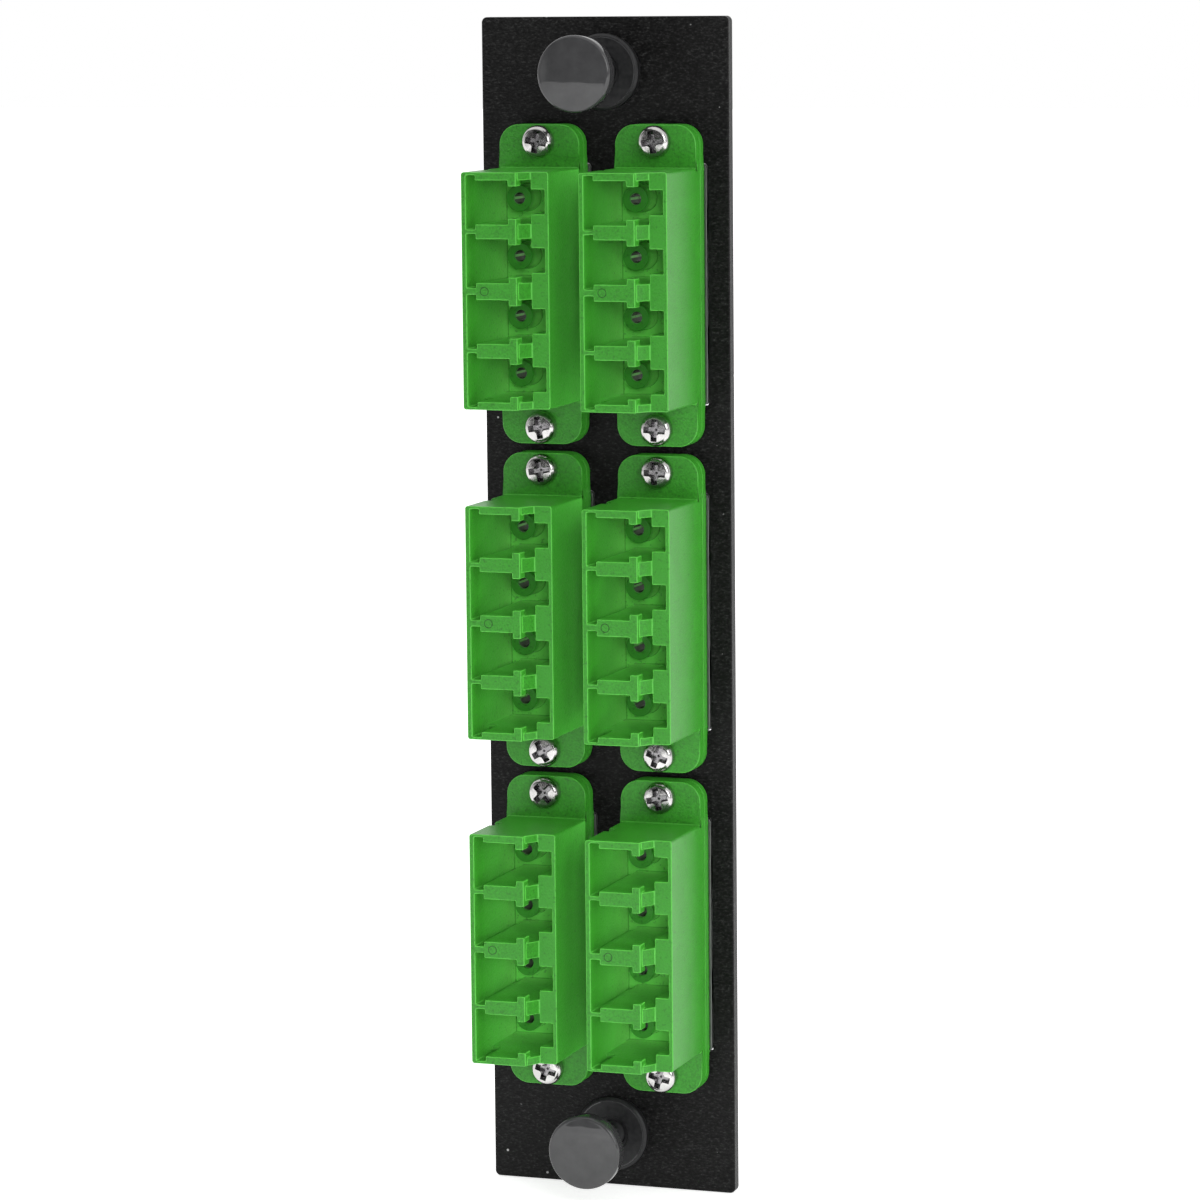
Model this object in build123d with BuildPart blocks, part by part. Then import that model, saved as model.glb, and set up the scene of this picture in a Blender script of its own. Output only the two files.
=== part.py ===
"""Fibre adapter panel: a narrow steel plate with six quad adapters and two push-pull fasteners.

Millimetres. The plate stands upright with its front towards -Y, and the origin is the middle of its
rear face, which seats on the rack. Each adapter is two moulded halves that meet inside its flange.
"""
from build123d import *
from math import asin, degrees
import os

# Plate, whose height and width follow from the adapters and the bare bands round them
plate_thickness = 1.5
plate_corner_radius = 0.6
end_band = 11.55
side_band = 2.9

# Rows and columns of adapters on the plate
row_gap = 1.0
column_gap = 4.1
row_names = ["top", "middle", "bottom"]
column_names = ["left", "right"]

# Port: a plug of square body with its latch to the right, seen from outside the port.
# Each stretch of the slot has a width along X and a gap along Z.
side_wall = 0.55
plug_width = 4.78
plug_gap = 4.68
ridge_width = 0.92
ridge_gap = 3.43
ridge_depth = 1.6
lug_width = 0.95
latch_width = 1.55
latch_gap = 2.64
latch_wall = 0.45
corner_relief_width = 1.05
corner_relief_gap = 5.79
corner_relief_depth = 5.0
latch_shoulder_length = 4.0

# Ports along the adapter: two pairs, a little further apart in the middle
pair_pitch = 6.25
middle_pitch = 6.5
end_wall = 0.86

# Housing halves, measured outwards from the plane where they meet
half_length = 13.5
middle_wall = 0.9
front_flange_thickness = 1.5
rear_flange_thickness = 1.1
ear_height = 4.7
flange_corner_radius = 2.2
body_corner_radius = 0.3

# Latch side cut back behind the plug side: a step, a ramp and a flat
cutback_step = 0.5
cutback_depth = 2.0

# Notch in the outer corners of the plug side
notch_start = 5.8
notch_length = 2.2
notch_width = 0.8
notch_height = 0.5

# Ferrule sleeves and their holders
sleeve_length = 6.8
sleeve_radius = 0.81
sleeve_bore_radius = 0.63
sleeve_slot = 0.3
sleeve_radial_clearance = 0.06
sleeve_end_clearance = 0.05
holder_radius = 1.45
holder_lip = 0.45
ferrule_hole_radius = 0.65
ferrule_offset = 0.15

# Retaining clip, a sheet-metal band around each rear half
clip_thickness = 0.3
clip_length = 6.0
clip_clearance = 0.03
clip_corner_radius = 0.5
clip_tab_width = 3.5
clip_tab_spacing = 13.0
clip_tab_length = 4.0
clip_tab_flare = 0.8
clip_tab_plate_gap = 0.2
clip_window_margin = 0.3
window_clearance = 0.12
window_corner_radius = 0.5

# Screws and nuts
screw_inset = 1.85
screw_radius = 0.97
screw_length = 6.2
screw_hole_clearance = 0.13
screw_head_radius = 1.78
screw_head_height = 1.25
screw_head_side = 0.45
cross_length = 2.2
cross_width = 0.5
cross_depth = 0.7
cross_turn = 34.0
nut_across_flats = 4.0
nut_thickness = 1.6
nut_thread_clearance = 0.03

# Push-pull fasteners
fastener_inset = 5.95
grommet_flange_radius = 4.15
grommet_flange_thickness = 1.0
grommet_flange_chamfer = 0.25
grommet_recess_radius = 2.0
grommet_recess_depth = 0.25
barrel_shoulder_radius = 2.7
barrel_hole_clearance = 0.1
barrel_radius = 2.35
barrel_neck_length = 4.0
barrel_length = 8.0
barrel_tip_radius = 2.1
barrel_bore_radius = 1.85
barrel_slot_width = 0.6
barrel_slot_start = 2.2
lip_length = 1.5
plunger_radius = 1.5
plunger_running_clearance = 0.08
plunger_collar_length = 1.2
plunger_collar_gap = 0.1
plunger_tip_length = 1.0
plunger_tip_radius = 1.1
knob_radius = 4.1
knob_thickness = 2.3
knob_dome_radius = 24.0
knob_edge_radius = 0.35
knob_reach = 10.5

# Derived sizes
body_width = side_wall + plug_width + ridge_width + lug_width + latch_width + latch_wall
port_heights = [
    middle_pitch / 2 + pair_pitch,
    middle_pitch / 2,
    -middle_pitch / 2,
    -middle_pitch / 2 - pair_pitch,
]
ports_height = 2 * port_heights[0] + plug_gap
body_height = ports_height + 2 * end_wall
flange_height = body_height + 2 * ear_height
row_pitch = flange_height + row_gap
column_pitch = body_width + column_gap
plate_height = (len(row_names) - 1) * row_pitch + flange_height + 2 * end_band
plate_width = (len(column_names) - 1) * column_pitch + body_width + 2 * side_band
screw_spacing = flange_height - 2 * screw_inset
fastener_spacing = plate_height - 2 * fastener_inset
plug_left = side_wall - body_width / 2
relief_right = plug_left + corner_relief_width
plug_right = plug_left + plug_width
ridge_right = plug_right + ridge_width
lug_right = ridge_right + lug_width
latch_right = lug_right + latch_width
ferrule_x = (plug_left + plug_right) / 2 + ferrule_offset
parting_y = -plate_thickness - rear_flange_thickness
port_depth = half_length - middle_wall
sleeve_room = sleeve_length / 2 + sleeve_end_clearance
clip_gap = clip_clearance + clip_thickness
window_width = body_width + 2 * (clip_gap + window_clearance)
window_height = body_height + 2 * (clip_gap + window_clearance)
screw_hole_radius = screw_radius + screw_hole_clearance
knob_dome_angle = degrees(asin(knob_radius / knob_dome_radius))
barrel_hole_radius = barrel_shoulder_radius + barrel_hole_clearance

adapter_places = [
    (f"{column_name}_{row_name}", (column - 0.5) * column_pitch, (1 - row) * row_pitch)
    for column, column_name in enumerate(column_names)
    for row, row_name in enumerate(row_names)
]
screw_places = [
    (x, z + end * screw_spacing / 2) for _, x, z in adapter_places for end in (1, -1)
]

os.makedirs("parts", exist_ok=True)


def facing(outward, x, y, z):
    """A plane across Y at a point, with its normal towards +Y (1) or towards the front, -Y (-1)."""
    return Plane(origin=(x, y, z), x_dir=(1, 0, 0), z_dir=(0, outward, 0))


def write(piece, label):
    """Labels a finished piece and writes it."""
    piece.part.label = label
    export_step(piece.part, f"parts/{label}.step")


def slot_stretch(x_from, x_to, gap, mode=Mode.ADD):
    """One stretch of a port's slot, from x_from to x_to, drawn around the port's axis."""
    with Locations(((x_from + x_to) / 2, 0)):
        Rectangle(x_to - x_from, gap, mode=mode)


def make_plate():
    """The flat plate with its windows, screw holes and fastener holes."""
    with BuildPart() as plate:
        with BuildSketch(facing(-1, 0, 0, 0)):
            RectangleRounded(plate_width, plate_height, plate_corner_radius)
            with Locations([(x, z) for _, x, z in adapter_places]):
                RectangleRounded(
                    window_width, window_height, window_corner_radius, mode=Mode.SUBTRACT
                )
            with Locations(screw_places):
                Circle(screw_hole_radius, mode=Mode.SUBTRACT)
            with Locations((0, fastener_spacing / 2), (0, -fastener_spacing / 2)):
                Circle(barrel_hole_radius, mode=Mode.SUBTRACT)
        extrude(amount=plate_thickness)
    return plate


def make_housing(x, z, outward, flange_thickness):
    """One moulded half, built outwards from the plane where the two halves meet."""
    parting = facing(outward, x, parting_y, z)
    mouth = parting.offset(half_length)
    notch_floor = half_length - notch_start - notch_length
    with BuildPart() as half:
        with BuildSketch(parting):
            RectangleRounded(body_width, flange_height, flange_corner_radius)
            with Locations((0, screw_spacing / 2), (0, -screw_spacing / 2)):
                Circle(screw_hole_radius, mode=Mode.SUBTRACT)
        extrude(amount=flange_thickness)
        with BuildSketch(parting):
            RectangleRounded(body_width, body_height, body_corner_radius)
        extrude(amount=half_length)

        # Plug, lug and latch stretches run to the floor of the port
        with BuildSketch(mouth):
            with Locations([(0, height) for height in port_heights]):
                slot_stretch(plug_left, plug_right, plug_gap)
                slot_stretch(plug_right, ridge_right, ridge_gap)
                slot_stretch(ridge_right, lug_right, plug_gap)
                slot_stretch(lug_right, latch_right, latch_gap)
        extrude(amount=-port_depth, mode=Mode.SUBTRACT)

        # Behind the ridges the plug's stretch goes on to the lugs
        with BuildSketch(mouth.offset(-ridge_depth)):
            with Locations([(0, height) for height in port_heights]):
                slot_stretch(plug_right, ridge_right, plug_gap)
        extrude(amount=ridge_depth - port_depth, mode=Mode.SUBTRACT)

        # Behind its shoulder the latch slot opens to the full gap, where the latch's lugs snap in
        with BuildSketch(mouth.offset(-cutback_depth - latch_shoulder_length)):
            with Locations([(0, height) for height in port_heights]):
                slot_stretch(lug_right, latch_right, plug_gap)
        extrude(amount=cutback_depth + latch_shoulder_length - port_depth, mode=Mode.SUBTRACT)

        # Relief beside the plug's outer edges: by the end walls at the mouth only, else to the floor
        with BuildSketch(mouth):
            with Locations([(0, height) for height in port_heights]):
                slot_stretch(plug_left, relief_right, corner_relief_gap)
        extrude(amount=-corner_relief_depth, mode=Mode.SUBTRACT)
        with BuildSketch(mouth):
            with Locations([(0, height) for height in port_heights]):
                slot_stretch(plug_left, relief_right, corner_relief_gap)
            slot_stretch(plug_left, relief_right, ports_height, mode=Mode.INTERSECT)
        extrude(amount=-port_depth, mode=Mode.SUBTRACT)

        # Latch side cut back, drawn across X and outwards, and cut through the whole height
        with BuildSketch(Plane(origin=mouth.origin, x_dir=(1, 0, 0), z_dir=(0, 0, outward))):
            with BuildLine():
                Polyline(
                    (ridge_right, half_length),
                    (ridge_right, -cutback_step),
                    (lug_right, -cutback_depth),
                    (body_width, -cutback_depth),
                    (body_width, half_length),
                    close=True,
                )
            make_face()
        extrude(amount=body_height, both=True, mode=Mode.SUBTRACT)

        # Notches in the outer corners of the plug side
        with BuildSketch(parting.offset(notch_floor)):
            with Locations((-body_width / 2, body_height / 2), (-body_width / 2, -body_height / 2)):
                Rectangle(2 * notch_width, 2 * notch_height)
        extrude(amount=notch_length, mode=Mode.SUBTRACT)

        # Sleeve holders stand on the floor of each port
        with BuildSketch(parting):
            with Locations([(ferrule_x, height) for height in port_heights]):
                Circle(holder_radius)
        extrude(amount=sleeve_room + holder_lip)
        with BuildSketch(parting):
            with Locations([(ferrule_x, height) for height in port_heights]):
                Circle(sleeve_radius + sleeve_radial_clearance)
        extrude(amount=sleeve_room, mode=Mode.SUBTRACT)
        with BuildSketch(parting):
            with Locations([(ferrule_x, height) for height in port_heights]):
                Circle(ferrule_hole_radius)
        extrude(amount=sleeve_room + holder_lip, mode=Mode.SUBTRACT)
    return half


def make_sleeve(x, z):
    """A split ceramic sleeve, half in each housing half."""
    with BuildPart() as sleeve:
        with BuildSketch(facing(-1, x, parting_y, z)):
            Circle(sleeve_radius)
            Circle(sleeve_bore_radius, mode=Mode.SUBTRACT)
            with Locations((-sleeve_radius, 0)):
                Rectangle(sleeve_radius, sleeve_slot, mode=Mode.SUBTRACT)
        extrude(amount=sleeve_length / 2, both=True)
    return sleeve


def make_clip(x, z):
    """The band around a rear half, with two lanced spring tabs on each long side."""
    inner_width = body_width + 2 * clip_clearance
    inner_height = body_height + 2 * clip_clearance
    wall_in = inner_width / 2
    wall_out = wall_in + clip_thickness
    tab_end = clip_tab_plate_gap
    tab_root = tab_end + clip_tab_length
    inner_radius = clip_corner_radius - clip_thickness
    window_span = clip_tab_width + 2 * clip_window_margin
    with BuildPart() as clip:
        with BuildSketch(facing(1, x, -plate_thickness, z)):
            RectangleRounded(2 * wall_out, inner_height + 2 * clip_thickness, clip_corner_radius)
            RectangleRounded(inner_width, inner_height, inner_radius, mode=Mode.SUBTRACT)
        extrude(amount=clip_length)
        for height in (z + clip_tab_spacing / 2, z - clip_tab_spacing / 2):
            with BuildSketch(Plane.XY.offset(height)):
                with Locations((x, (tab_end + tab_root) / 2)):
                    Rectangle(3 * wall_out, clip_tab_length)
            extrude(amount=window_span / 2, both=True, mode=Mode.SUBTRACT)
            for side in (1, -1):
                with BuildSketch(Plane.XY.offset(height)):
                    with BuildLine():
                        Polyline(
                            (x + side * wall_in, tab_root),
                            (x + side * wall_out, tab_root),
                            (x + side * (wall_out + clip_tab_flare), tab_end),
                            (x + side * (wall_in + clip_tab_flare), tab_end),
                            close=True,
                        )
                    make_face()
                extrude(amount=clip_tab_width / 2, both=True)
    return clip


def make_screws():
    """All pan-head screws, each with a cross recess turned its own way."""
    seat_y = parting_y - front_flange_thickness
    with BuildPart() as screws:
        for number, (x, z) in enumerate(screw_places):
            with BuildSketch(Plane(origin=(x, seat_y, z), x_dir=(1, 0, 0), z_dir=(0, 0, 1))):
                with BuildLine():
                    Polyline(
                        (0, -screw_head_height),
                        (0, screw_length),
                        (screw_radius, screw_length),
                        (screw_radius, 0),
                        (screw_head_radius, 0),
                        (screw_head_radius, -screw_head_side),
                    )
                    SagittaArc(
                        (screw_head_radius, -screw_head_side),
                        (0, -screw_head_height),
                        -screw_head_side / 2,
                    )
                make_face()
            revolve(axis=Axis((x, seat_y, z), (0, 1, 0)))
            with BuildSketch(facing(1, x, seat_y - screw_head_height, z)):
                turn = number * cross_turn
                Rectangle(cross_length, cross_width, rotation=turn)
                Rectangle(cross_width, cross_length, rotation=turn)
            extrude(amount=cross_depth, mode=Mode.SUBTRACT)
    return screws


def make_nuts():
    """All hexagon nuts, seated on the plate's rear face."""
    with BuildPart() as nuts:
        for x, z in screw_places:
            with BuildSketch(facing(1, x, 0, z)):
                RegularPolygon(nut_across_flats / 2, 6, major_radius=False)
                Circle(screw_radius + nut_thread_clearance, mode=Mode.SUBTRACT)
            extrude(amount=nut_thickness)
    return nuts


def make_grommet(z):
    """A fastener's flanged barrel, split into four legs behind the plate."""
    front_y = -plate_thickness - grommet_flange_thickness
    lip_y = front_y + lip_length
    lip_radius = plunger_radius + plunger_running_clearance
    with BuildPart() as grommet:
        with BuildSketch(Plane(origin=(0, 0, z), x_dir=(1, 0, 0), z_dir=(0, 0, 1))):
            with BuildLine():
                Polyline(
                    (lip_radius, front_y + grommet_recess_depth),
                    (grommet_recess_radius, front_y + grommet_recess_depth),
                    (grommet_recess_radius, front_y),
                    (grommet_flange_radius - grommet_flange_chamfer, front_y),
                    (grommet_flange_radius, front_y + grommet_flange_chamfer),
                    (grommet_flange_radius, -plate_thickness),
                    (barrel_shoulder_radius, -plate_thickness),
                    (barrel_shoulder_radius, 0),
                    (barrel_radius, 0),
                    (barrel_radius, barrel_neck_length),
                    (barrel_tip_radius, barrel_length),
                    (barrel_bore_radius, barrel_length),
                    (barrel_bore_radius, lip_y),
                    (lip_radius, lip_y),
                    close=True,
                )
            make_face()
        revolve(axis=Axis((0, 0, z), (0, 1, 0)))
        with BuildSketch(facing(1, 0, barrel_slot_start, z)):
            Rectangle(3 * barrel_radius, barrel_slot_width)
            Rectangle(barrel_slot_width, 3 * barrel_radius)
        extrude(amount=barrel_length, mode=Mode.SUBTRACT)
    return grommet


def make_plunger(z):
    """A pulled-out plunger: domed knob, shaft and the collar that stops behind the grommet's lip."""
    face_y = -plate_thickness - knob_reach
    back_y = face_y + knob_thickness
    lip_y = -plate_thickness - grommet_flange_thickness + lip_length
    collar_y = lip_y + plunger_collar_gap
    collar_end = collar_y + plunger_collar_length
    collar_radius = barrel_bore_radius - plunger_running_clearance
    with BuildPart() as plunger:
        with BuildSketch(Plane(origin=(0, 0, z), x_dir=(1, 0, 0), z_dir=(0, 0, 1))) as profile:
            with BuildLine():
                dome = CenterArc(
                    (0, face_y + knob_dome_radius), knob_dome_radius, 270, knob_dome_angle
                )
                Polyline(
                    dome @ 0,
                    (0, collar_end + plunger_tip_length),
                    (plunger_tip_radius, collar_end + plunger_tip_length),
                    (collar_radius, collar_end),
                    (collar_radius, collar_y),
                    (plunger_radius, collar_y),
                    (plunger_radius, back_y),
                    (knob_radius, back_y),
                    dome @ 1,
                )
            make_face()
            fillet(profile.vertices().group_by(Axis.X)[-1], radius=knob_edge_radius)
        revolve(axis=Axis((0, 0, z), (0, 1, 0)))
    return plunger


write(make_plate(), "panel_plate")
write(make_screws(), "adapter_screws")
write(make_nuts(), "adapter_nuts")

for place, x, z in adapter_places:
    write(make_housing(x, z, -1, front_flange_thickness), f"front_housing_{place}")
    write(make_housing(x, z, 1, rear_flange_thickness), f"rear_housing_{place}")
    write(make_clip(x, z), f"clip_{place}")
    for number, height in enumerate(port_heights, start=1):
        write(make_sleeve(x + ferrule_x, z + height), f"sleeve_{place}_{number}")

for end, z in (("top", fastener_spacing / 2), ("bottom", -fastener_spacing / 2)):
    write(make_grommet(z), f"grommet_{end}")
    write(make_plunger(z), f"plunger_{end}")
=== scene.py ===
"""Looks of the fibre adapter panel: moulded plastic, coated plate, nickel screws, glossy knobs.

Sizes are in millimetres through mm() in the row frame: the front faces -Y, +X is right, +Z is up.
"""
import math
import bmesh
import bpy
from mathutils import Matrix, Vector


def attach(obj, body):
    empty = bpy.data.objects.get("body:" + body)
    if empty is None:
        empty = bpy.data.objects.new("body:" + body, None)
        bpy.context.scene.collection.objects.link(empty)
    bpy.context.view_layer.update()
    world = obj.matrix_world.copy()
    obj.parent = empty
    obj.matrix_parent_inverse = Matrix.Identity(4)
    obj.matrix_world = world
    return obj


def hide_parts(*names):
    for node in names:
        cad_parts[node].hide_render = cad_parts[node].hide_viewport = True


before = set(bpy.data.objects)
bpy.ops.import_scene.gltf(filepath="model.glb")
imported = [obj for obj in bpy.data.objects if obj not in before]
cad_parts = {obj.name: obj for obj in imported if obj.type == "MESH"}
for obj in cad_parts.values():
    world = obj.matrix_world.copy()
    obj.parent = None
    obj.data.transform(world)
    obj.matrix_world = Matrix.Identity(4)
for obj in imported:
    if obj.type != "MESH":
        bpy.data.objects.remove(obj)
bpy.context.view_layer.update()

# Adapters, six on the plate; CENTRES holds the x and z of each one's middle
ROW_PITCH = 35.8
COLUMN_PITCH = 13.3
CENTRES = {
    f"{column}_{row}": ((across - 0.5) * COLUMN_PITCH, (1 - down) * ROW_PITCH)
    for across, column in enumerate(("left", "right"))
    for down, row in enumerate(("top", "middle", "bottom"))
}

# Each adapter has two halves that meet in the parting plane, and each half has four ports.
# FERRULE_X is the x of the right column's ferrules. The ports stand in two pairs, one above and
# one below the middle: PAIR_PITCH is their distance in a pair, PAIR_MIDDLE the height of a pair.
PARTING_Y = -2.6
HALF_LENGTH = 13.5
BODY_WIDTH = 9.2
BODY_HEIGHT = 25.4
COLUMN_GAP = COLUMN_PITCH - BODY_WIDTH
FERRULE_X = 5.14
PAIR_PITCH = 6.25
PAIR_MIDDLE = 6.375


def mm(value):
    """Millimetres in metres."""
    return value / 1000


# Materials


def srgb(red, green, blue):
    """A linear colour from 0-255 sRGB values."""
    def linear(value):
        value /= 255
        return value / 12.92 if value <= 0.04045 else ((value + 0.055) / 1.055) ** 2.4
    return (linear(red), linear(green), linear(blue), 1.0)


class Shader:
    """A principled material with short helpers for its procedural nodes."""

    def __init__(self, name, **sockets):
        self.material = bpy.data.materials.new(name)
        self.material.use_nodes = True
        self.tree = self.material.node_tree
        self.bsdf = self.tree.nodes["Principled BSDF"]
        self.position = self.tree.nodes.new("ShaderNodeTexCoord").outputs["Object"]
        for socket, value in sockets.items():
            self.bsdf.inputs[socket.replace("_", " ")].default_value = value

    def noise(self, size_mm, detail=2.0, roughness=0.5, offset=0.0, stretch=(1, 1, 1)):
        """Noise whose features are about size_mm wide; another offset gives another pattern."""
        mapping = self.tree.nodes.new("ShaderNodeMapping")
        mapping.inputs["Location"].default_value = (offset, offset * 0.7, offset * 1.3)
        mapping.inputs["Scale"].default_value = stretch
        self.tree.links.new(self.position, mapping.inputs["Vector"])
        node = self.tree.nodes.new("ShaderNodeTexNoise")
        node.inputs["Scale"].default_value = 1 / mm(size_mm)
        node.inputs["Detail"].default_value = detail
        node.inputs["Roughness"].default_value = roughness
        self.tree.links.new(mapping.outputs["Vector"], node.inputs["Vector"])
        return node.outputs["Fac"]

    def chain(self, axis, *steps):
        """One coordinate of the surface in metres after some (operation, number) steps."""
        split = self.tree.nodes.new("ShaderNodeSeparateXYZ")
        self.tree.links.new(self.position, split.inputs[0])
        value = split.outputs[axis]
        for operation, number in steps:
            node = self.tree.nodes.new("ShaderNodeMath")
            node.operation = operation
            node.inputs[1].default_value = number
            self.tree.links.new(value, node.inputs[0])
            value = node.outputs[0]
        return value

    def distance(self, a, b):
        """The length of a flat vector with the parts a and b."""
        joined = self.tree.nodes.new("ShaderNodeCombineXYZ")
        self.tree.links.new(a, joined.inputs[0])
        self.tree.links.new(b, joined.inputs[1])
        node = self.tree.nodes.new("ShaderNodeVectorMath")
        node.operation = "LENGTH"
        self.tree.links.new(joined.outputs[0], node.inputs[0])
        return node.outputs["Value"]

    def ramp(self, fac, *stops):
        """A colour ramp through (position, colour or grey) stops."""
        node = self.tree.nodes.new("ShaderNodeValToRGB")
        self.tree.links.new(fac, node.inputs["Fac"])
        elements = node.color_ramp.elements
        while len(elements) < len(stops):
            elements.new(0.5)
        for element, (position, colour) in zip(elements, stops):
            element.position = position
            element.color = colour if isinstance(colour, tuple) else (colour, colour, colour, 1)
        return node.outputs["Color"]

    def mix(self, fac, a, b, blend="MIX"):
        """Mixes two colours; each may be a socket or a value."""
        node = self.tree.nodes.new("ShaderNodeMix")
        node.data_type = "RGBA"
        node.blend_type = blend
        for socket, value in ((node.inputs[0], fac), (node.inputs[6], a), (node.inputs[7], b)):
            if isinstance(value, bpy.types.NodeSocket):
                self.tree.links.new(value, socket)
            else:
                socket.default_value = value
        return node.outputs[2]

    def product(self, first, *others):
        """The product of some grey or colour sockets."""
        for other in others:
            first = self.mix(1.0, first, other, "MULTIPLY")
        return first

    def bump(self, height, distance_mm, strength=1.0, under=None):
        """A bump of a height socket, over another bump's normal if given."""
        node = self.tree.nodes.new("ShaderNodeBump")
        node.inputs["Strength"].default_value = strength
        node.inputs["Distance"].default_value = mm(distance_mm)
        self.tree.links.new(height, node.inputs["Height"])
        if under is not None:
            self.tree.links.new(under, node.inputs["Normal"])
        return node.outputs["Normal"]

    def set(self, socket, output):
        """Links an output to one of the shader's sockets."""
        self.tree.links.new(output, self.bsdf.inputs[socket])


# sRGB tones of the green plastic; the edge tone is a painted highlight, the holder tone is painted
# light and the mark tones are painted shade
TONE = (56, 146, 40)
TONE_PALE = (64, 156, 47)
TONE_EDGE_HIGHLIGHT = (86, 182, 68)
TONE_HOLDER_PAINTED_LIGHT = (68, 170, 52)
TONE_MARK_SHADE = (30, 88, 22)
TONE_MARK_SHADE_PALE = (36, 98, 27)
DARK_GRAIN = 0.84

# The distance from a ferrule's axis that counts as 1 in holder_area, and that between dust specks
HOLDER_SPAN = 3.0
SPECK_SPACING = 2.4
TARNISH = 0.86


def port_area(shader, depth):
    """1 within the ports, 0 on the outside of the housings and near their mouths; the mask of the
    painted light in the ports.
    """
    across = shader.chain(
        "X", ("ABSOLUTE", 0), ("SUBTRACT", mm(COLUMN_PITCH / 2)), ("DIVIDE", mm(BODY_WIDTH / 2)),
        ("ABSOLUTE", 0)
    )
    along = shader.chain("Z", ("PINGPONG", mm(ROW_PITCH / 2)), ("DIVIDE", mm(BODY_HEIGHT / 2)))
    return shader.product(
        shader.ramp(across, (0.93, 1.0), (0.96, 0.0)),
        shader.ramp(along, (0.95, 1.0), (0.98, 0.0)),
        shader.ramp(depth, (0.8, 1.0), (0.9, 0.0)),
    )


def holder_area(shader, depth):
    """1 on the round ferrule holders that stand in the ports; the mask of their painted light."""
    beside = shader.chain(
        "X", ("FLOORED_MODULO", mm(COLUMN_PITCH)), ("SUBTRACT", mm(FERRULE_X)),
        ("DIVIDE", mm(HOLDER_SPAN))
    )
    level = shader.chain(
        "Z", ("PINGPONG", mm(ROW_PITCH / 2)), ("SUBTRACT", mm(PAIR_MIDDLE)), ("ABSOLUTE", 0),
        ("SUBTRACT", mm(PAIR_PITCH / 2)), ("DIVIDE", mm(HOLDER_SPAN))
    )
    return shader.product(
        shader.ramp(shader.distance(beside, level), (0.48, 1.0), (0.5, 0.0)),
        shader.ramp(depth, (0.2, 0.0), (0.27, 1.0), (0.6, 1.0), (0.7, 0.0)),
    )


def gap_area(shader):
    """1 on the two housing faces that look at each other across the gap between the columns; the
    mask of the painted light and shade there.
    """
    place = shader.chain("X", ("ABSOLUTE", 0), ("DIVIDE", mm(COLUMN_GAP)))
    return shader.ramp(place, (0.48, 0.0), (0.49, 1.0), (0.51, 1.0), (0.52, 0.0))


def green_plastic(name, light, pale, edge=None):
    """Moulded green plastic with a spark texture, with painted light in the ports and on the
    ferrule holders, and painted light and shade on the faces between the columns.

    depth is 0 in the parting plane and 1 at the mouths. An edge colour, a painted highlight, goes
    on what lies near the mouths and, weaker, on the flange.
    """
    shader = Shader(name, Diffuse_Roughness=1.0, IOR=1.5, Specular_IOR_Level=0.36)
    grain = shader.noise(0.22, detail=3, roughness=0.6)
    dark = [value * DARK_GRAIN for value in light]
    base = shader.ramp(grain, (0.3, srgb(*dark)), (0.55, srgb(*light)), (0.8, srgb(*pale)))
    depth = shader.chain(
        "Y", ("SUBTRACT", mm(PARTING_Y)), ("DIVIDE", mm(HALF_LENGTH)), ("ABSOLUTE", 0)
    )
    # Painted light in the ports: the deeper a face lies, the paler its green
    painted_port_light = shader.ramp(
        depth, (0.08, srgb(134, 240, 108)), (0.25, srgb(112, 222, 90)), (0.5, srgb(88, 192, 70)),
        (0.85, srgb(*light))
    )
    base = shader.mix(port_area(shader, depth), base, painted_port_light)
    # Painted light on the ferrule holders: paler than the plain tone, weaker than the rest of the
    # port
    base = shader.mix(holder_area(shader, depth), base, srgb(*TONE_HOLDER_PAINTED_LIGHT))
    # Painted light and shade in the gap between the columns: paler near the flange, darker than the
    # plain tone near the mouths
    between = shader.ramp(
        depth, (0.11, srgb(*light)), (0.13, srgb(94, 204, 76)), (0.5, srgb(72, 170, 56)),
        (0.95, srgb(50, 134, 36))
    )
    base = shader.mix(gap_area(shader), base, between)
    if edge:
        # Painted highlight: the paler edge tone near the mouths and, weaker, on the flange
        outer = shader.ramp(depth, (0.13, 0.6), (0.16, 0.0), (0.8, 0.0), (0.84, 1.0))
        base = shader.mix(outer, base, srgb(*edge))
    blotch = shader.noise(2.6, detail=3, offset=3.1)
    specks = shader.noise(0.34, detail=1, offset=11.3)
    blotches = shader.ramp(blotch, (0.3, 0.9), (0.7, 1.0))
    dots = shader.ramp(specks, (0.28, 0.72), (0.36, 1.0))
    shader.set("Base Color", shader.product(base, blotches, dots))
    shader.set("Roughness", shader.ramp(grain, (0.3, 0.28), (0.75, 0.42)))
    fine = shader.bump(shader.noise(0.2, detail=2, offset=7.7), 0.05, 0.9)
    waves = shader.noise(5.0, detail=1, offset=1.9)
    shader.set("Normal", shader.bump(waves, 0.02, 0.5, fine))
    return shader.material


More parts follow.
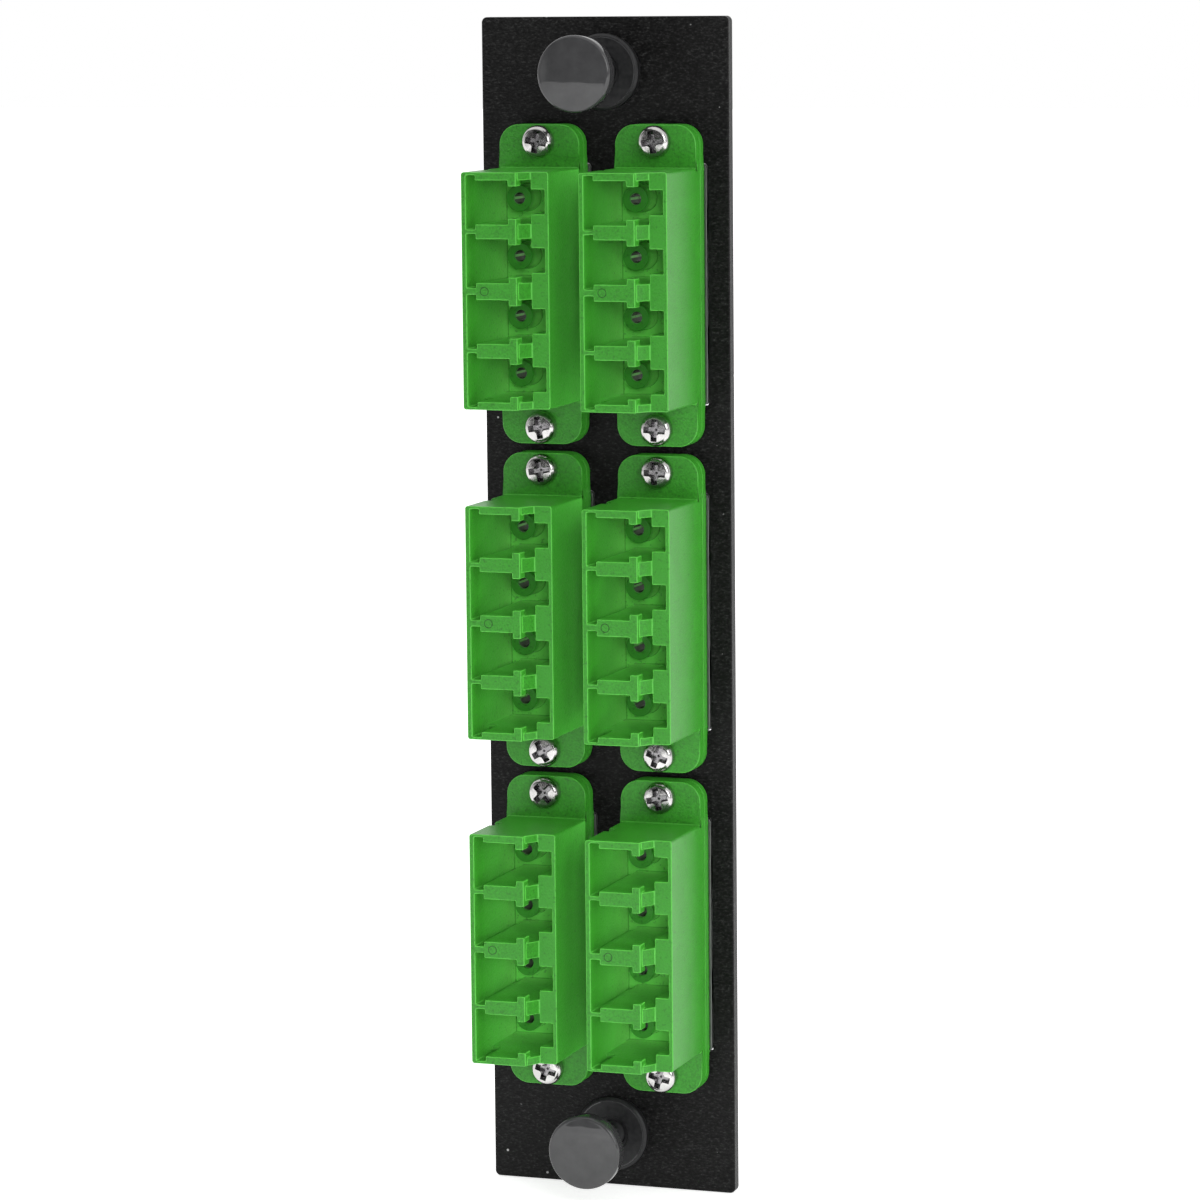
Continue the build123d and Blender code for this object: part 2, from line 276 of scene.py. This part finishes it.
def wrinkle_coat():
    """Black powder coat with a fine wrinkle and a few pale specks of dust."""
    shader = Shader("black_coat", Specular_IOR_Level=0.15)
    wrinkle = shader.noise(0.34, detail=3, roughness=0.6, stretch=(1, 1, 2))
    fine = shader.noise(0.2, detail=2, offset=4.2)
    coat = shader.ramp(
        wrinkle, (0.4, srgb(6, 6, 6)), (0.58, srgb(22, 22, 22)), (0.72, srgb(48, 48, 48))
    )
    specks = shader.tree.nodes.new("ShaderNodeTexVoronoi")
    specks.inputs["Scale"].default_value = 1 / mm(SPECK_SPACING)
    shader.tree.links.new(shader.position, specks.inputs["Vector"])
    dust = shader.ramp(specks.outputs["Distance"], (0.045, 1.0), (0.07, 0.0))
    rare = shader.ramp(shader.noise(4.0, detail=2, offset=9.4), (0.52, 0.0), (0.6, 1.0))
    shader.set("Base Color", shader.mix(shader.product(dust, rare), coat, srgb(190, 190, 190)))
    shader.set("Roughness", shader.ramp(wrinkle, (0.3, 0.3), (0.7, 0.5)))
    shader.set("Normal", shader.bump(wrinkle, 0.08, 0.8, shader.bump(fine, 0.02, 0.6)))
    return shader.material


def glossy_black():
    """Smooth moulded black plastic with faint flow waves and fine scratches."""
    shader = Shader("black_plastic", IOR=1.5)
    cloud = shader.noise(1.6, detail=4, offset=2.2)
    shader.set("Base Color", shader.ramp(cloud, (0.3, srgb(54, 54, 55)), (0.7, srgb(63, 63, 64))))
    scratch = shader.noise(0.5, detail=3, stretch=(0.2, 1, 3), offset=5.5)
    shader.set("Roughness", shader.ramp(scratch, (0.4, 0.03), (0.75, 0.1)))
    shader.set("Normal", shader.bump(shader.noise(3.2, detail=1, offset=6.1), 0.06, 0.5))
    return shader.material


def dull_black():
    """The same plastic with the satin skin of a textured mould."""
    shader = Shader("black_satin", IOR=1.5, Specular_IOR_Level=0.3)
    cloud = shader.noise(0.5, detail=4, offset=4.6)
    shader.set("Base Color", shader.ramp(cloud, (0.3, srgb(26, 26, 27)), (0.7, srgb(38, 38, 39))))
    shader.set("Roughness", shader.ramp(cloud, (0.35, 0.32), (0.7, 0.5)))
    shader.set("Normal", shader.bump(cloud, 0.02, 0.6))
    return shader.material


def metal(name, colour, low, high, grain_mm, bump_mm):
    """Plated or rolled metal with fine grain, slight tarnish and a roughness from low to high."""
    shader = Shader(name, Metallic=1.0)
    grain = shader.noise(grain_mm, detail=3, offset=1.3)
    cloud = shader.noise(1.1, detail=3, offset=8.0)
    dark = tuple(value * TARNISH for value in colour[:3]) + (1.0,)
    shader.set("Base Color", shader.ramp(cloud, (0.35, dark), (0.6, colour)))
    shader.set("Roughness", shader.ramp(grain, (0.3, low), (0.7, high)))
    shader.set("Normal", shader.bump(grain, bump_mm, 0.5))
    return shader.material


def zirconia_green_shade():
    """Ceramic in painted shade, tinted green as painted light bounced from the plastic around it.
    """
    shader = Shader("zirconia_green_shade", IOR=2.0)
    cloud = shader.noise(0.8, detail=2)
    colour = shader.ramp(cloud, (0.3, srgb(96, 122, 88)), (0.7, srgb(112, 136, 102)))
    shader.set("Base Color", colour)
    shader.set("Roughness", shader.ramp(cloud, (0.3, 0.12), (0.7, 0.2)))
    return shader.material


GREEN = green_plastic("green_plastic", TONE, TONE_PALE)
GREEN_EDGE_HIGHLIGHT = green_plastic("green_edge_highlight", TONE, TONE_PALE, TONE_EDGE_HIGHLIGHT)
GREEN_MARK_SHADE = green_plastic("green_mark_shade", TONE_MARK_SHADE, TONE_MARK_SHADE_PALE)
COAT = wrinkle_coat()
BLACK = glossy_black()
SATIN = dull_black()
NICKEL = metal("nickel", (0.62, 0.61, 0.6, 1.0), 0.12, 0.26, 0.3, 0.012)
# The darker nickel in the cross recess is painted shade
RECESS_SHADE = metal("nickel_recess_shade", (0.34, 0.33, 0.34, 1.0), 0.18, 0.36, 0.2, 0.03)
# Darkened spring steel: partly the steel's own tone, partly painted shade in the gap beside the
# flange
SPRING_SHADED = metal("spring_steel", (0.22, 0.24, 0.22, 1.0), 0.3, 0.45, 0.2, 0.004)
CERAMIC_GREEN_SHADE = zirconia_green_shade()


# Meshes

# Bevel widths; edges that turn by more than an angle in degrees are bevelled or kept sharp
HOUSING_BEVEL = 0.1
CLIP_BEVEL = 0.06
PLATE_BEVEL = 0.15
GROMMET_BEVEL = 0.05
BEVEL_ANGLE = 32
SCREW_SHARP_ANGLE = 33
NUT_SHARP_ANGLE = 25

# Tessellation that clean_copy takes out of a CAD mesh
JOIN_DISTANCE = 0.001
FLAT_ANGLE = 0.8

# Vertices of a full turn
SCREW_STEPS = 48
NUT_STEPS = 72
RING_STEPS = 96
KNOB_STEPS = 128


def add_piece(name, mesh, body, materials, replaced=()):
    """Links a mesh as a piece that rides on a body and stands for some CAD nodes."""
    piece = bpy.data.objects.new(name, mesh)
    bpy.context.scene.collection.objects.link(piece)
    indices = [polygon.material_index for polygon in mesh.polygons]
    mesh.materials.clear()
    for material in materials:
        mesh.materials.append(material)
    mesh.polygons.foreach_set("material_index", indices)
    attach(piece, body)
    if replaced:
        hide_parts(*replaced)
    return piece


def smoothed(piece, angle=180):
    """Shades a piece smooth apart from the edges that turn by more than an angle."""
    for polygon in piece.data.polygons:
        polygon.use_smooth = True
    if angle < 180:
        piece.data.set_sharp_from_angle(angle=math.radians(angle))


def rounded(piece, width_mm, segments=2, edge_material=-1):
    """Bevels a piece's sharp edges and shades the rest smooth."""
    smoothed(piece)
    bevel = piece.modifiers.new("edges", "BEVEL")
    bevel.width = mm(width_mm)
    bevel.segments = segments
    bevel.limit_method = "ANGLE"
    bevel.angle_limit = math.radians(BEVEL_ANGLE)
    bevel.use_clamp_overlap = False
    bevel.harden_normals = True
    bevel.material = edge_material
    bevel.miter_outer = "MITER_ARC"
    bevel.loop_slide = False


def clean_copy(node):
    """A copy of a CAD node's mesh with its flat faces whole and its corners joined."""
    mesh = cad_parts[node].data.copy()
    work = bmesh.new()
    work.from_mesh(mesh)
    bmesh.ops.remove_doubles(work, verts=work.verts, dist=mm(JOIN_DISTANCE))
    bmesh.ops.dissolve_limit(
        work, angle_limit=math.radians(FLAT_ANGLE), verts=work.verts, edges=work.edges
    )
    for face in work.faces:
        face.material_index = 0
    work.to_mesh(mesh)
    work.free()
    for name in ("custom_normal", "sharp_edge", "sharp_face"):
        attribute = mesh.attributes.get(name)
        if attribute:
            mesh.attributes.remove(attribute)
    return mesh


def dressed(name, node, materials):
    """A piece on the panel with the cleaned shape of one CAD node, which it replaces."""
    return add_piece(name, clean_copy(node), "panel", materials, [node])


for place in CENTRES:
    for side in ("front", "rear"):
        housing = dressed(
            f"{side}_shell_{place}", f"{side}_housing_{place}", [GREEN, GREEN_EDGE_HIGHLIGHT]
        )
        # The bevels take the second material, whose paler edge tone is a painted highlight
        rounded(housing, HOUSING_BEVEL, edge_material=1)
    rounded(dressed(f"band_{place}", f"clip_{place}", [SPRING_SHADED]), CLIP_BEVEL)
rounded(dressed("coated_plate", "panel_plate", [COAT]), PLATE_BEVEL, segments=3)


def circle(work, radii, y, x=0, z=0):
    """Vertices around +Y in a plane of constant y, one for each radius; all in mm."""
    ring = []
    for step, radius in enumerate(radii):
        angle = math.tau * step / len(radii)
        place = (x + radius * math.cos(angle), y, z + radius * math.sin(angle))
        ring.append(work.verts.new(Vector(map(mm, place))))
    return ring


def skin(work, rings):
    """Faces between each ring of vertices and the next; a single vertex is a tip."""
    for ring, following in zip(rings, rings[1:]):
        steps = max(len(ring), len(following))
        for step in range(steps):
            after = (step + 1) % steps
            if len(ring) == 1:
                corners = (ring[0], following[after], following[step])
            elif len(following) == 1:
                corners = (ring[step], ring[after], following[0])
            else:
                corners = (ring[step], ring[after], following[after], following[step])
            work.faces.new(corners)


def finished(work, name):
    """The mesh of a bmesh, with its faces turned outward."""
    bmesh.ops.recalc_face_normals(work, faces=work.faces)
    mesh = bpy.data.meshes.new(name)
    work.to_mesh(mesh)
    work.free()
    return mesh


def lathe(profile, z, steps):
    """A closed mesh turned around +Y at a height z from (radius, y) points in mm.

    A radius of 0 is a tip.
    """
    work = bmesh.new()
    rings = []
    for radius, y in profile:
        rings.append(circle(work, [radius] * (steps if radius else 1), y, z=z))
    skin(work, rings)
    return finished(work, "lathe")


def cut(mesh, tool):
    """The first mesh less the second."""
    base = bpy.data.objects.new("base", mesh)
    cutter = bpy.data.objects.new("cutter", tool)
    for thing in (base, cutter):
        bpy.context.scene.collection.objects.link(thing)
    step = base.modifiers.new("cut", "BOOLEAN")
    step.operation = "DIFFERENCE"
    step.object = cutter
    step.solver = "EXACT"
    graph = bpy.context.evaluated_depsgraph_get()
    done = bpy.data.meshes.new_from_object(base.evaluated_get(graph))
    for thing in (base, cutter):
        bpy.data.objects.remove(thing)
    return done


def hull(points):
    """A convex solid around points in mm."""
    work = bmesh.new()
    for point in points:
        work.verts.new(Vector(map(mm, point)))
    bmesh.ops.convex_hull(work, input=work.verts)
    return finished(work, "hull")


def gathered(name, mesh, places):
    """One mesh with a copy of another at each (x, y, z, turn) place.

    turn is in degrees, clockwise from the front.
    """
    work = bmesh.new()
    for x, y, z, turn in places:
        before = len(work.verts)
        work.from_mesh(mesh)
        work.verts.ensure_lookup_table()
        moved = Matrix.Translation(Vector(map(mm, (x, y, z))))
        turned = Matrix.Rotation(math.radians(turn), 4, "Y")
        bmesh.ops.transform(work, matrix=moved @ turned, verts=work.verts[before:])
    return finished(work, name)


# Screws and nuts

# The head is flat up to HEAD_FLAT, falls by HEAD_CROWN there, and rounds off to its side
HEAD_RADIUS = 1.78
HEAD_HEIGHT = 1.25
HEAD_FLAT = 1.2
HEAD_CROWN = 0.08
HEAD_SIDE = 0.4
HEAD_FOOT = 0.08
HEAD_CURVE_STEPS = 8
SEAT_Y = -4.1
SHANK_RADIUS = 0.97
SHANK_END = 6.2
SHANK_POINT = 0.2
THREAD_RUNOUT = 0.1
THREAD_START = 3.4
THREAD_PITCH = 0.4
THREAD_DEPTH = 0.12

# Half the length and width of the recess's arms at the top and at the floor, and its pointed middle
CROSS_TIP = 1.3
CROSS_WIDTH = 0.37
CROSS_DEPTH = 0.8
CROSS_FLOOR_TIP = 0.85
CROSS_FLOOR_WIDTH = 0.22
CROSS_MIDDLE = 0.98
CROSS_POINT = 0.2
CROSS_OVERLAP = 0.05
RECESS_RIM = 0.12
RECESS_END = 0.1
SLIVER = 0.003

# The nut's corners are turned off: at a height nothing stands out past the radius in NUT_CHAMFER
NUT_FLATS = 4.0
NUT_THICKNESS = 1.6
NUT_CHAMFER = [
    (0, 1.97), (0.03, 2.02), (0.07, 2.08), (0.11, 2.14), (0.15, 2.2), (0.19, 2.26), (0.23, 2.4)
]
BORE_CLEARANCE = 0.03
BORE_CHAMFER_WIDTH = 0.2
BORE_CHAMFER_DEPTH = 0.15

# How far each adapter's upper and lower screw are turned, and a nut's turn for each degree of that
SCREW_SPACING = 31.1
SCREW_TURNS = {
    "left_top": (9, -9), "left_middle": (-9, -30), "left_bottom": (45, 17),
    "right_top": (-8, 3), "right_middle": (3, 20), "right_bottom": (-12, 14),
}
NUT_TURN = 7


def screw_profile():
    """The (radius, y) points of a pan-head screw, its seat at y = 0 and its head towards -Y."""
    crown_y = -HEAD_HEIGHT + HEAD_CROWN
    profile = [
        (0, -HEAD_HEIGHT), (HEAD_FLAT / 2, -HEAD_HEIGHT + HEAD_CROWN / 4), (HEAD_FLAT, crown_y)
    ]
    for step in range(1, HEAD_CURVE_STEPS + 1):
        angle = math.radians(90 * step / HEAD_CURVE_STEPS)
        radius = HEAD_FLAT + (HEAD_RADIUS - HEAD_FLAT) * math.sin(angle)
        profile.append((radius, -HEAD_SIDE + (crown_y + HEAD_SIDE) * math.cos(angle)))
    profile += [(HEAD_RADIUS, -HEAD_FOOT), (HEAD_RADIUS - HEAD_FOOT, 0)]
    profile += [(SHANK_RADIUS, 0), (SHANK_RADIUS, THREAD_START)]
    y = THREAD_START
    while y + THREAD_PITCH < SHANK_END - THREAD_RUNOUT:
        profile.append((SHANK_RADIUS - THREAD_DEPTH, y + THREAD_PITCH / 2))
        y += THREAD_PITCH
        profile.append((SHANK_RADIUS, y))
    return profile + [(SHANK_RADIUS - SHANK_POINT, SHANK_END), (0, SHANK_END)]


def cross_tools():
    """The three solids that sink the cross recess: two tapered arms and a pointed middle."""
    top = -HEAD_HEIGHT - CROSS_OVERLAP
    floor = -HEAD_HEIGHT + CROSS_DEPTH
    levels = ((CROSS_TIP, CROSS_WIDTH, top), (CROSS_FLOOR_TIP, CROSS_FLOOR_WIDTH, floor))
    arm = [
        (u, y, v) for along, width, y in levels for u in (along, -along) for v in (width, -width)
    ]
    middle = [
        (CROSS_MIDDLE * math.cos(angle), top, CROSS_MIDDLE * math.sin(angle))
        for angle in (math.pi / 2 * quarter for quarter in range(4))
    ]
    other_arm = [(v, y, u) for u, y, v in arm]
    return [hull(arm), hull(other_arm), hull(middle + [(0, floor + CROSS_POINT, 0)])]


def screw_mesh():
    """A pan-head screw; the faces of its recess take the second material, a darker nickel painted
    as shade.
    """
    mesh = lathe(screw_profile(), 0, SCREW_STEPS)
    for tool in cross_tools():
        mesh = cut(mesh, tool)
    work = bmesh.new()
    work.from_mesh(mesh)
    bmesh.ops.remove_doubles(work, verts=work.verts, dist=mm(SLIVER))
    bmesh.ops.dissolve_degenerate(work, dist=mm(SLIVER), edges=work.edges)
    mesh = finished(work, "screw")
    for polygon in mesh.polygons:
        across = math.hypot(polygon.center.x, polygon.center.z)
        sunk = mm(-HEAD_HEIGHT + RECESS_RIM) < polygon.center.y < mm(-RECESS_END)
        polygon.material_index = int(sunk and across < mm(HEAD_FLAT))
    return mesh


def nut_mesh():
    """A hexagon nut with turned corners, its seat at y = 0."""
    angles = [360 * step / NUT_STEPS for step in range(NUT_STEPS)]
    outline = [NUT_FLATS / 2 / math.cos(math.radians(angle % 60 - 30)) for angle in angles]
    far_end = [(NUT_THICKNESS - y, limit) for y, limit in reversed(NUT_CHAMFER)]
    bore = SHANK_RADIUS + BORE_CLEARANCE
    mouth = bore + BORE_CHAMFER_WIDTH
    inside = [
        (NUT_THICKNESS, mouth), (NUT_THICKNESS - BORE_CHAMFER_DEPTH, bore),
        (BORE_CHAMFER_DEPTH, bore), (0, mouth)
    ]
    work = bmesh.new()
    rings = [
        circle(work, [min(limit, radius) for radius in outline], y)
        for y, limit in NUT_CHAMFER + far_end + inside
    ]
    skin(work, rings + rings[:1])
    return finished(work, "nut")


fixings = [
    (x, z + end * SCREW_SPACING / 2, turn)
    for place, (x, z) in CENTRES.items()
    for end, turn in zip((1, -1), SCREW_TURNS[place])
]
screws = gathered("screws", screw_mesh(), [(x, SEAT_Y, z, turn) for x, z, turn in fixings])
screws = add_piece("pan_screws", screws, "panel", [NICKEL, RECESS_SHADE], ["adapter_screws"])
smoothed(screws, SCREW_SHARP_ANGLE)
nuts = gathered("nuts", nut_mesh(), [(x, 0, z, NUT_TURN * turn) for x, z, turn in fixings])
nuts = add_piece("hex_nuts", nuts, "panel", [NICKEL], ["adapter_nuts"])
smoothed(nuts, NUT_SHARP_ANGLE)


# Push-pull fasteners

FASTENER_Z = 58.8
KNOB_FACE_Y = -12.0
KNOB_RADIUS = 4.1
KNOB_THICKNESS = 2.3
KNOB_EDGE = 0.35
KNOB_DOME_RADIUS = 24.0
DOME_STEPS = 24
FRONT_EDGE_STEPS = 8
BACK_EDGE_STEPS = 6
SHAFT_MARGIN = 0.1
PLUNGER_RADIUS = 1.5
PLUNGER_ROOT = [(0.3, 0), (0.1, 0.08), (0, 0.3)]
COLLAR_Y = -0.9
COLLAR_RADIUS = 1.77
COLLAR_LENGTH = 1.2
COLLAR_CHAMFER = 0.08
TIP_RADIUS = 1.1
TIP_LENGTH = 1.0
FLANGE_FACE_Y = -2.5
FLANGE_RING = 3.75
FLANGE_RING_WIDTH = 0.18
FLANGE_RING_HEIGHT = 0.08

# The round mould mark on each adapter's front, raised a little; its dark green is painted shade
MARK_X = 2.55 - BODY_WIDTH / 2
MARK_RADIUS = 0.45
MARK_WIDTH = 0.16
MARK_HEIGHT = 0.02
RING_FOOT = 0.05


def plunger_mesh(z):
    """A knob with a domed face; its shaft and collar take the second material."""
    def dome(radius):
        """The y of the domed face at a radius."""
        return KNOB_FACE_Y + KNOB_DOME_RADIUS - math.sqrt(KNOB_DOME_RADIUS ** 2 - radius ** 2)

    flat = KNOB_RADIUS - KNOB_EDGE
    radii = [flat * step / DOME_STEPS for step in range(DOME_STEPS + 1)]
    profile = [(radius, dome(radius)) for radius in radii]
    for step in range(1, FRONT_EDGE_STEPS + 1):
        angle = math.radians(90 * step / FRONT_EDGE_STEPS)
        profile.append(
            (flat + KNOB_EDGE * math.sin(angle), dome(flat) + KNOB_EDGE * (1 - math.cos(angle)))
        )
    back = KNOB_FACE_Y + KNOB_THICKNESS
    for step in range(BACK_EDGE_STEPS + 1):
        angle = math.radians(90 * step / BACK_EDGE_STEPS)
        profile.append(
            (flat + KNOB_EDGE * math.cos(angle), back - KNOB_EDGE + KNOB_EDGE * math.sin(angle))
        )
    profile += [(PLUNGER_RADIUS + out, back + along) for out, along in PLUNGER_ROOT]
    profile += [
        (PLUNGER_RADIUS, COLLAR_Y), (COLLAR_RADIUS - COLLAR_CHAMFER, COLLAR_Y),
        (COLLAR_RADIUS, COLLAR_Y + COLLAR_CHAMFER)
    ]
    collar_end = COLLAR_Y + COLLAR_LENGTH
    tip_end = collar_end + TIP_LENGTH
    profile += [(COLLAR_RADIUS, collar_end), (TIP_RADIUS, tip_end), (0, tip_end)]
    mesh = lathe(profile, z, KNOB_STEPS)
    for polygon in mesh.polygons:
        polygon.material_index = int(polygon.center.y > mm(back - SHAFT_MARGIN))
    return mesh


def ring_mesh(name, centres, radius, width, height):
    """Thin raised rings on faces that look towards -Y; each centre lies on its face."""
    section = [
        (-width / 2, RING_FOOT), (-width / 4, -height), (width / 4, -height), (width / 2, RING_FOOT)
    ]
    work = bmesh.new()
    for x, y, z in centres:
        rings = [
            circle(work, [radius + out] * RING_STEPS, y + lift, x, z) for out, lift in section
        ]
        skin(work, rings + rings[:1])
    return finished(work, name)


for end, z in (("top", FASTENER_Z), ("bottom", -FASTENER_Z)):
    node = f"plunger_{end}"
    plunger = plunger_mesh(z)
    smoothed(add_piece(f"push_{end}", plunger, node, [BLACK, SATIN], [node]))
    rounded(dressed(f"barrel_{end}", f"grommet_{end}", [SATIN]), GROMMET_BEVEL)
    centre = (0, FLANGE_FACE_Y, z)
    ring = ring_mesh("flange_ring", [centre], FLANGE_RING, FLANGE_RING_WIDTH, FLANGE_RING_HEIGHT)
    add_piece(f"flange_ring_{end}", ring, "panel", [BLACK])

marks = [(x + MARK_X, PARTING_Y - HALF_LENGTH, z) for x, z in CENTRES.values()]
marks = ring_mesh("marks", marks, MARK_RADIUS, MARK_WIDTH, MARK_HEIGHT)
add_piece("mould_marks", marks, "panel", [GREEN_MARK_SHADE])

# The sleeves take the ceramic whose dark green is painted shade and bounce light
for node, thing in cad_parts.items():
    if node.startswith("sleeve"):
        thing.data.materials.clear()
        thing.data.materials.append(CERAMIC_GREEN_SHADE)


# Camera, placed where the photograph was taken from

CAMERA_PLACE = (173.48, -499.94, 69.69)
CAMERA_FORWARD = (-0.3277, 0.93594, -0.12895)
CAMERA_UP = (-0.03386, 0.12476, 0.99161)
CAMERA_LENS = 145.23
SENSOR_WIDTH = 36
CLIP_START = 0.01
CLIP_END = 50

camera_data = bpy.data.cameras.new("camera")
camera = bpy.data.objects.new("camera", camera_data)
bpy.context.scene.collection.objects.link(camera)
camera_data.sensor_width = SENSOR_WIDTH
camera_data.lens = CAMERA_LENS
camera_data.clip_start = CLIP_START
camera_data.clip_end = CLIP_END
forward = Vector(CAMERA_FORWARD).normalized()
right = forward.cross(Vector(CAMERA_UP).normalized()).normalized()
turn = Matrix((right, right.cross(forward), -forward)).transposed()
camera.matrix_world = Matrix.Translation(Vector(map(mm, CAMERA_PLACE))) @ turn.to_4x4()
bpy.context.scene.camera = camera


# Studio

# The floor lies just under the plate; its edges are in metres
FLOOR_Z = -64.8
FLOOR_SIDE = 4
FLOOR_FRONT = -1.2
FLOOR_BACK = 4
FLOOR_COLOUR = 0.9
FLOOR_ROUGHNESS = 0.9
FLOOR_GLOW = 0.6

# The world's strength in front of the object and at the far left
DIM = 0.06
WALL = 0.7


def either(tree, *sockets):
    """The largest of some levels."""
    level = sockets[0]
    for other in sockets[1:]:
        node = tree.nodes.new("ShaderNodeMath")
        node.operation = "MAXIMUM"
        tree.links.new(level, node.inputs[0])
        tree.links.new(other, node.inputs[1])
        level = node.outputs[0]
    return level


def white_floor():
    """A white stage floor that shows as plain white and still takes light and shadow."""
    corners = [
        (-FLOOR_SIDE, FLOOR_FRONT), (FLOOR_SIDE, FLOOR_FRONT), (FLOOR_SIDE, FLOOR_BACK),
        (-FLOOR_SIDE, FLOOR_BACK)
    ]
    mesh = bpy.data.meshes.new("floor")
    mesh.from_pydata([(x, y, mm(FLOOR_Z)) for x, y in corners], [], [(0, 1, 2, 3)])
    surface = bpy.data.objects.new("floor", mesh)
    bpy.context.scene.collection.objects.link(surface)
    material = bpy.data.materials.new("floor")
    material.use_nodes = True
    tree = material.node_tree
    bsdf = tree.nodes["Principled BSDF"]
    bsdf.inputs["Base Color"].default_value = (FLOOR_COLOUR, FLOOR_COLOUR, FLOOR_COLOUR, 1)
    bsdf.inputs["Roughness"].default_value = FLOOR_ROUGHNESS
    bsdf.inputs["Specular IOR Level"].default_value = 0.0
    bsdf.inputs["Emission Color"].default_value = (1, 1, 1, 1)
    path = tree.nodes.new("ShaderNodeLightPath").outputs
    seen = either(tree, path["Is Camera Ray"], path["Is Glossy Ray"], path["Is Transmission Ray"])
    strength = tree.nodes.new("ShaderNodeMath")
    strength.operation = "MULTIPLY"
    strength.inputs[1].default_value = FLOOR_GLOW
    tree.links.new(seen, strength.inputs[0])
    tree.links.new(strength.outputs[0], bsdf.inputs["Emission Strength"])
    mesh.materials.append(material)


def studio_world():
    """White behind, above and at the far left, dim in front; plain white to the camera."""
    world = bpy.data.worlds.new("studio")
    bpy.context.scene.world = world
    world.use_nodes = True
    tree = world.node_tree
    direction = tree.nodes.new("ShaderNodeTexCoord").outputs["Generated"]
    split = tree.nodes.new("ShaderNodeSeparateXYZ")
    tree.links.new(direction, split.inputs[0])

    def fade(axis, start, full, to=1.0, under=0.0):
        """A level that goes from one to another between two values of a direction's axis."""
        ramp = tree.nodes.new("ShaderNodeMapRange")
        for socket, value in (
            ("From Min", start), ("From Max", full), ("To Min", under), ("To Max", to)
        ):
            ramp.inputs[socket].default_value = value
        tree.links.new(split.outputs[axis], ramp.inputs["Value"])
        return ramp.outputs["Result"]

    wall = tree.nodes.new("ShaderNodeMath")
    wall.operation = "MULTIPLY"
    tree.links.new(fade("X", -0.55, -0.6, to=WALL), wall.inputs[0])
    tree.links.new(fade("Z", 0.3, 0.24), wall.inputs[1])
    behind = fade("Y", -0.35, 0.15, under=DIM)
    above = fade("Z", 0.5, 0.7)
    path = tree.nodes.new("ShaderNodeLightPath").outputs
    strength = tree.nodes.new("ShaderNodeMix")
    strength.data_type = "FLOAT"
    strength.inputs[3].default_value = 1.0
    seen = either(tree, path["Is Camera Ray"], path["Is Transmission Ray"])
    tree.links.new(seen, strength.inputs[0])
    tree.links.new(either(tree, behind, above, wall.outputs[0]), strength.inputs[2])
    background = tree.nodes["Background"]
    background.inputs["Color"].default_value = (1, 1, 1, 1)
    tree.links.new(strength.outputs[0], background.inputs["Strength"])


def flat_light(name, place, target, size, power, mirrored=False):
    """A softbox that looks at a target; places and its two sizes are in metres."""
    data = bpy.data.lights.new(name, "AREA")
    data.shape = "RECTANGLE"
    data.size, data.size_y = size
    data.energy = power
    light = bpy.data.objects.new(name, data)
    light.location = place
    light.rotation_euler = (Vector(target) - Vector(place)).to_track_quat("-Z", "Y").to_euler()
    light.visible_camera = False
    light.visible_glossy = mirrored
    bpy.context.scene.collection.objects.link(light)


white_floor()
studio_world()
flat_light("front", (0.42, -1.15, 0.18), (0, 0, 0), (0.3, 0.3), 5)
flat_light("right", (0.9, -0.8, 0.45), (0, 0, 0), (0.7, 0.7), 5.5, mirrored=True)
flat_light("table_bounce", (0.05, -0.12, -0.045), (0, 0, -0.03), (0.15, 0.03), 0.055)

bpy.context.scene.view_settings.view_transform = "Standard"
